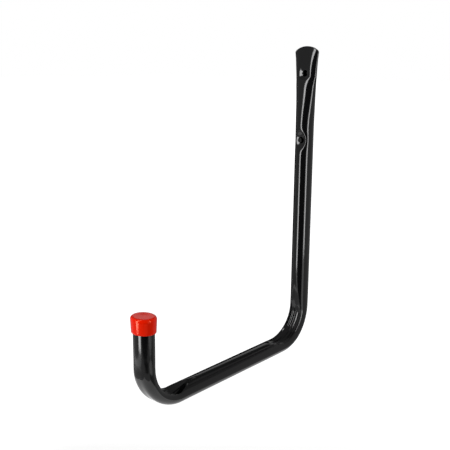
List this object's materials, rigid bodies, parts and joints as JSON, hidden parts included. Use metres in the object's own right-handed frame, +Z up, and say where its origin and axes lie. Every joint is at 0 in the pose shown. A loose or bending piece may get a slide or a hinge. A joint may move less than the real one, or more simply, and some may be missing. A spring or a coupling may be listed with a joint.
{
  "type": "utility hook",
  "caption": "Deep J-shaped wall hook of press-bent black steel tube with a flattened, screw-holed end and a red push-on cap, for hanging long or bulky gear.",
  "frame": {"origin": "On the leg's centreline, midway between the two screw holes.", "axes": "+Z up along the leg; -Y forward along the arm, away from the wall; +X to the right of someone who faces the wall."},
  "size_m": [0.0296, 0.268, 0.3438],
  "materials": {
    "coated_steel": "gloss black coating",
    "cap_plastic": "gloss red"
  },
  "bodies": {
    "root": {"hook_tube": "coated_steel", "end_cap": "cap_plastic"}
  },
  "joints": []
}
